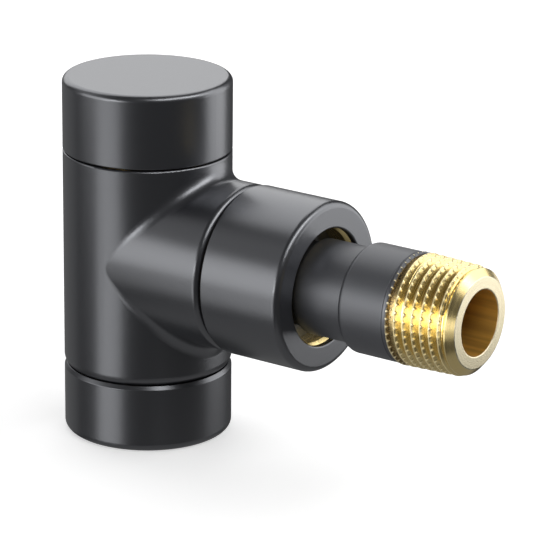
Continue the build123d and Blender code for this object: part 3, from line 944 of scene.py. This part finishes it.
# name, width and height in metres, power in watts, azimuth and elevation in degrees, distance
SOFTBOXES = (
    ("left_main", 0.48, 0.34, 0.92, -37, 8, 0.6),
    ("left_low", 0.34, 0.20, 0.32, -19, -21, 0.6),
    ("left_edge", 0.50, 0.40, 0.115, -100, -15, 0.6),
    ("left_high", 0.40, 0.30, 0.15, -62, 37, 0.6),
    ("front_spot", 0.20, 0.15, 0.44, -8, 6, 0.6),
    ("right_main", 0.50, 0.80, 2.22, 145, 15, 0.6),
    ("right_high", 0.62, 0.20, 1.60, 84, 50, 0.6),
    ("right_fill", 0.34, 0.20, 0.21, 112, 36, 0.6),
    ("high_back", 0.71, 0.81, 2.85, -125, 38, 0.7),
)


class VALVE_OT_stage(bpy.types.Operator):
    """Set up the floor, the lights and the camera"""

    bl_idname = "valve.stage"
    bl_label = "Stage"

    def execute(self, context):
        stage = context.scene.valve_stage
        self.make_floor(stage)
        self.make_world(context.scene)
        self.make_lights()
        self.make_camera(context.scene, stage)
        context.scene.view_settings.view_transform = "Standard"
        return {"FINISHED"}

    def make_floor(self, stage):
        half = stage.floor_size / 2
        mesh = bpy.data.meshes.new("floor")
        corners = [(-half, -half, 0), (half, -half, 0), (half, half, 0), (-half, half, 0)]
        mesh.from_pydata(corners, [], [(0, 1, 2, 3)])
        floor = bpy.data.objects.new("floor", mesh)
        bpy.context.scene.collection.objects.link(floor)
        finish = Finish("pale_floor")
        tone = finish.noise(0.4, detail=2.0)
        finish.set(Base_Color=finish.mix(tone, (0.80, 0.80, 0.80), (0.84, 0.84, 0.84)))
        finish.set(Roughness=0.9, Emission_Color=(1.0, 1.0, 1.0, 1.0))
        finish.set(Emission_Strength=0.5)
        mesh.materials.append(finish.material)
        floor.visible_diffuse = False
        floor.visible_glossy = False
        floor.visible_shadow = False

    def make_world(self, scene):
        world = bpy.data.worlds.new("studio")
        world.use_nodes = True
        back = world.node_tree.nodes["Background"]
        back.inputs["Color"].default_value = (1.0, 1.0, 1.0, 1.0)
        path = world.node_tree.nodes.new("ShaderNodeLightPath")
        s = Sums(world.node_tree)
        seen = path.outputs["Is Camera Ray"]
        s.put(back.inputs["Strength"], s.ramp(seen, 0.0, 1.0, 0.07, 0.96))
        scene.world = world

    def make_lights(self):
        for name, width, height, power, azimuth, elevation, distance in SOFTBOXES:
            place = around(azimuth, elevation, distance, VALVE_CENTRE)
            softbox(name, width, height, power, place, VALVE_CENTRE)
        softbox("card", 0.30, 0.30, 0.048, CARD_PLACE, VALVE_CENTRE)
        pipe = bpy.data.objects["tailpipe_body"]
        softbox("thread_card", 0.07, 0.06, 0.006, (0.182, -0.038, 0.017), THREAD_FRONT, pipe)
        softbox("thread_glow", 0.07, 0.036, 0.006, (0.182, -0.038, 0.031), THREAD_FRONT, pipe)
        behind = around(-158, -6, 0.6, THREAD_FRONT)
        softbox("thread_back", 0.34, 0.20, 0.17, behind, THREAD_FRONT, pipe)
        before = around(10, 8, 0.4, THREAD_FRONT)
        softbox("thread_front", 0.30, 0.30, 1.1, before, THREAD_FRONT, pipe)

    def make_camera(self, scene, stage):
        camera = bpy.data.cameras.new("camera")
        camera.lens = stage.lens
        camera.sensor_width = 36.0
        camera.clip_start = 0.01
        item = bpy.data.objects.new("camera", camera)
        azimuth = math.degrees(stage.azimuth)
        place = around(azimuth, math.degrees(stage.elevation), stage.distance, stage.aim)
        turn = (Vector(stage.aim) - place).to_track_quat("-Z", "Y").to_matrix()
        turn = turn @ Matrix.Rotation(stage.roll, 3, "Z")
        item.matrix_world = Matrix.Translation(place) @ turn.to_4x4()
        scene.collection.objects.link(item)
        scene.camera = item


class VALVE_PT_build(bpy.types.Panel):
    """Buttons and sizes of the valve"""

    bl_label = "Radiator valve"
    bl_idname = "VALVE_PT_build"
    bl_space_type = "VIEW_3D"
    bl_region_type = "UI"
    bl_category = "Valve"

    def draw(self, context):
        for operator in OPERATORS:
            self.layout.operator(operator.bl_idname)
        scene = context.scene
        for group in (scene.valve_tailpipe, scene.valve_inlet_cover, scene.valve_finishes):
            box = self.layout.box()
            for name in group.__annotations__:
                box.prop(group, name)


GROUPS = {
    "valve_tailpipe": TailpipeSizes,
    "valve_inlet_cover": InletCoverSizes,
    "valve_finishes": Finishes,
    "valve_stage": Stage,
}
OPERATORS = (
    VALVE_OT_painted_shells,
    VALVE_OT_inlet_cover,
    VALVE_OT_tailpipe,
    VALVE_OT_bare_brass,
    VALVE_OT_seals,
    VALVE_OT_stage,
)


def register():
    """Registers every class and hangs the property groups on the scene."""
    for group in GROUPS.values():
        bpy.utils.register_class(group)
    for name, group in GROUPS.items():
        setattr(bpy.types.Scene, name, PointerProperty(type=group))
    for item in (*OPERATORS, VALVE_PT_build):
        bpy.utils.register_class(item)


def unregister():
    """Undoes register."""
    for item in reversed((*OPERATORS, VALVE_PT_build)):
        bpy.utils.unregister_class(item)
    for name in GROUPS:
        delattr(bpy.types.Scene, name)
    for group in reversed(list(GROUPS.values())):
        bpy.utils.unregister_class(group)


def main():
    register()
    for operator in OPERATORS:
        family, name = operator.bl_idname.split(".")
        getattr(getattr(bpy.ops, family), name)()


if __name__ == "__main__":
    main()
